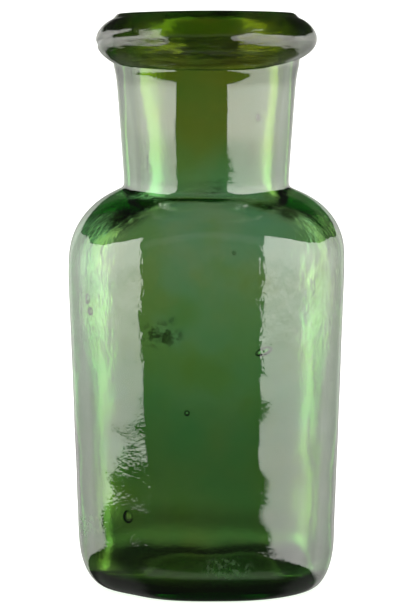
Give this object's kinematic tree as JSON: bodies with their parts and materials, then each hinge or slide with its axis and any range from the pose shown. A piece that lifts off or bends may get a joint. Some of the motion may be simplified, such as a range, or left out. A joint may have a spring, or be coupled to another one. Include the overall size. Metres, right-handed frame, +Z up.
{
  "type": "apothecary bottle",
  "caption": "Wide-mouth apothecary bottle of thick green glass: rounded-square body, short flared neck and an applied rolled lip, open at the top.",
  "frame": {"origin": "centre of the bottle's base, on the surface it stands on", "axes": "+Z up the bottle's axis to the mouth, -Y to the front of the picture, +X to its right"},
  "size_m": [0.058, 0.058, 0.1231],
  "materials": {
    "bottle_glass": "hand-made green glass, glossy, with a whittled surface, seeds and faint stain",
    "lip_glass": "the same green glass in a thick fire-polished roll, olive where it is thickest"
  },
  "bodies": {
    "root": {"blown_body": "bottle_glass", "applied_lip": "lip_glass"}
  },
  "joints": []
}
